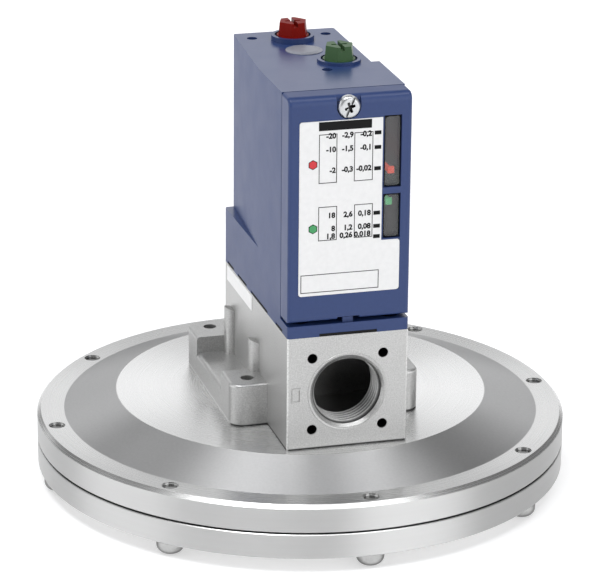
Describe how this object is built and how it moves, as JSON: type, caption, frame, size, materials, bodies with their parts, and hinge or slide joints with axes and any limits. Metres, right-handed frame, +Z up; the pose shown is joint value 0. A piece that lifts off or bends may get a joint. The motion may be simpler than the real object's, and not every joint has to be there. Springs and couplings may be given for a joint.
{
  "type": "vacuum switch",
  "caption": "Vacuum switch: large round diaphragm flanges under a narrow grey casting with a cable entry and a blue housing with adjusting screws and scale windows.",
  "frame": {"origin": "on the axis of the round flanges, in the plane of the lowest points of the flange screws' heads", "axes": "+Z up along the flange axis; -Y is the front with the cable entry and scale windows; +X to the right seen from the front"},
  "size_m": [0.155, 0.155, 0.1333],
  "materials": {
    "turned_steel": "fine turned stainless steel",
    "machine_screw": "bright steel",
    "diaphragm_rubber": "smooth black rubber sheet",
    "inner_steel": "plain pressed steel",
    "die_casting": "satin grey die casting",
    "blue_housing": "satin blue moulding",
    "blue_cover": "satin blue moulding",
    "grey_plug": "satin grey moulding",
    "seal_rubber": "black rubber",
    "zinc_screw": "bright zinc plate",
    "clear_window": "clear moulding",
    "scale_sheet": "printed white sheet",
    "marker_sheet": "plain white marking strip",
    "red_moulding": "satin red moulding",
    "green_moulding": "satin green moulding",
    "red_pointer": "bright red",
    "green_pointer": "bright green",
    "brass_part": "plain brass",
    "spring_steel": "drawn spring wire",
    "switch_moulding": "black moulding",
    "white_plunger": "white moulding"
  },
  "bodies": {
    "body": {"lower_flange": "turned_steel", "upper_flange": "turned_steel", "diaphragm": "diaphragm_rubber", "flange_screws": "machine_screw", "base_casting": "die_casting", "base_screws": "machine_screw", "rod_guide": "brass_part", "earth_screw": "brass_part", "marker_plate": "marker_sheet", "housing": "blue_housing", "housing_gasket": "seal_rubber", "housing_screws": "machine_screw", "sealing_plug": "grey_plug", "front_cover": "blue_cover", "cover_gasket": "seal_rubber", "cover_screw": "zinc_screw", "range_window": "clear_window", "differential_window": "clear_window", "scale_plate": "scale_sheet", "frame_bracket": "inner_steel", "frame_screws": "machine_screw", "pivot_pin": "machine_screw", "switch_block": "switch_moulding", "terminal_clamps": "brass_part", "terminal_screws": "machine_screw", "switch_screws": "machine_screw"},
    "range_adjuster": {"range_screw": "red_moulding", "range_seal": "seal_rubber", "range_clip": "spring_steel"},
    "range_carriage": {"range_nut": "brass_part", "range_pointer": "red_pointer"},
    "differential_adjuster": {"differential_screw": "green_moulding", "differential_seal": "seal_rubber", "differential_clip": "spring_steel"},
    "differential_carriage": {"differential_nut": "brass_part", "differential_pointer": "green_pointer"},
    "lever": {"balance_lever": "inner_steel", "range_anchor": "brass_part", "differential_anchor": "brass_part", "range_spring": "spring_steel", "differential_spring": "spring_steel"},
    "rod": {"push_rod": "inner_steel", "rod_nut": "machine_screw", "diaphragm_plate": "inner_steel", "diaphragm_washer": "inner_steel"},
    "plunger": {"switch_plunger": "white_plunger"}
  },
  "joints": [
    {"name": "range_screw_turn", "type": "hinge", "parent": "body", "child": "range_adjuster", "pos_m": [0, 0.0113, 0.1313], "axis": [0, 0, 1], "range_deg": [-5221, 721]},
    {"name": "range_nut_travel", "type": "slide", "parent": "body", "child": "range_carriage", "axis": [0, 0, 1], "range_m": [-0.002, 0.0145], "deforming": ["range_spring"]},
    {"name": "differential_screw_turn", "type": "hinge", "parent": "body", "child": "differential_adjuster", "pos_m": [0.0065, -0.0142, 0.1307], "axis": [0, 0, 1], "range_deg": [-676, 4051]},
    {"name": "differential_nut_travel", "type": "slide", "parent": "body", "child": "differential_carriage", "axis": [0, 0, 1], "range_m": [-0.009, 0.0015], "deforming": ["differential_spring"]},
    {"name": "lever_tilt", "type": "hinge", "parent": "body", "child": "lever", "pos_m": [0, -0.007, 0.0645], "axis": [1, 0, 0], "range_deg": [-3.32, 0.02]},
    {"name": "rod_travel", "type": "slide", "parent": "body", "child": "rod", "axis": [0, 0, 1], "range_m": [-0.000403, 0], "stiffness_N_per_m": 20000, "springref_m": 0.0004, "deforming": ["diaphragm"]},
    {"name": "plunger_travel", "type": "slide", "parent": "body", "child": "plunger", "axis": [0, 0, 1], "range_m": [-0.00001, 0.00117]}
  ],
  "couplings": [
    {"joint": "range_screw_turn", "follows": "range_nut_travel", "rad_per_m": -6283.2},
    {"joint": "differential_screw_turn", "follows": "differential_nut_travel", "rad_per_m": -7854},
    {"joint": "lever_tilt", "follows": "rod_travel", "rad_per_m": 142.86},
    {"joint": "plunger_travel", "follows": "rod_travel", "ratio": -2.8571}
  ]
}
